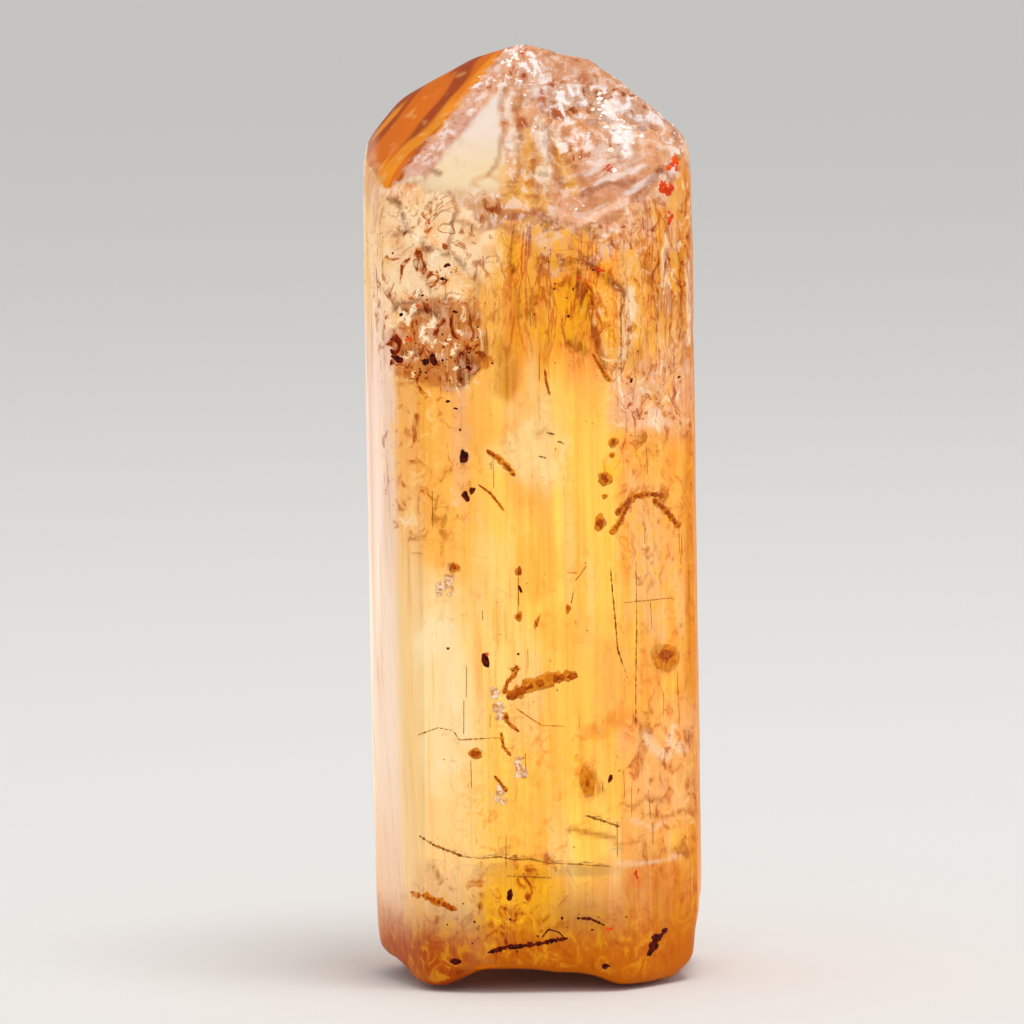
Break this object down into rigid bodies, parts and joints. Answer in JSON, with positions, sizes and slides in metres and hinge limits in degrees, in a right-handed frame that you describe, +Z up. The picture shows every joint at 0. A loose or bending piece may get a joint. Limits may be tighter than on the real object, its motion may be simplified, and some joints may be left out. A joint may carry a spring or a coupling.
{
  "type": "imperial topaz crystal",
  "caption": "Golden orange topaz crystal standing on its broken base: a striated prism with an etched, sloping point and flaws inside.",
  "frame": {"origin": "under the middle of the crystal's plan, on the surface that its feet stand on", "axes": "+Z up along the crystal to its point, -Y out of the broad front face, +X to the right of it"},
  "size_m": [0.014, 0.0114, 0.0395],
  "materials": {
    "topaz": "clear golden orange topaz, natural crystal faces"
  },
  "bodies": {
    "root": {"topaz_crystal": "topaz"}
  },
  "joints": []
}
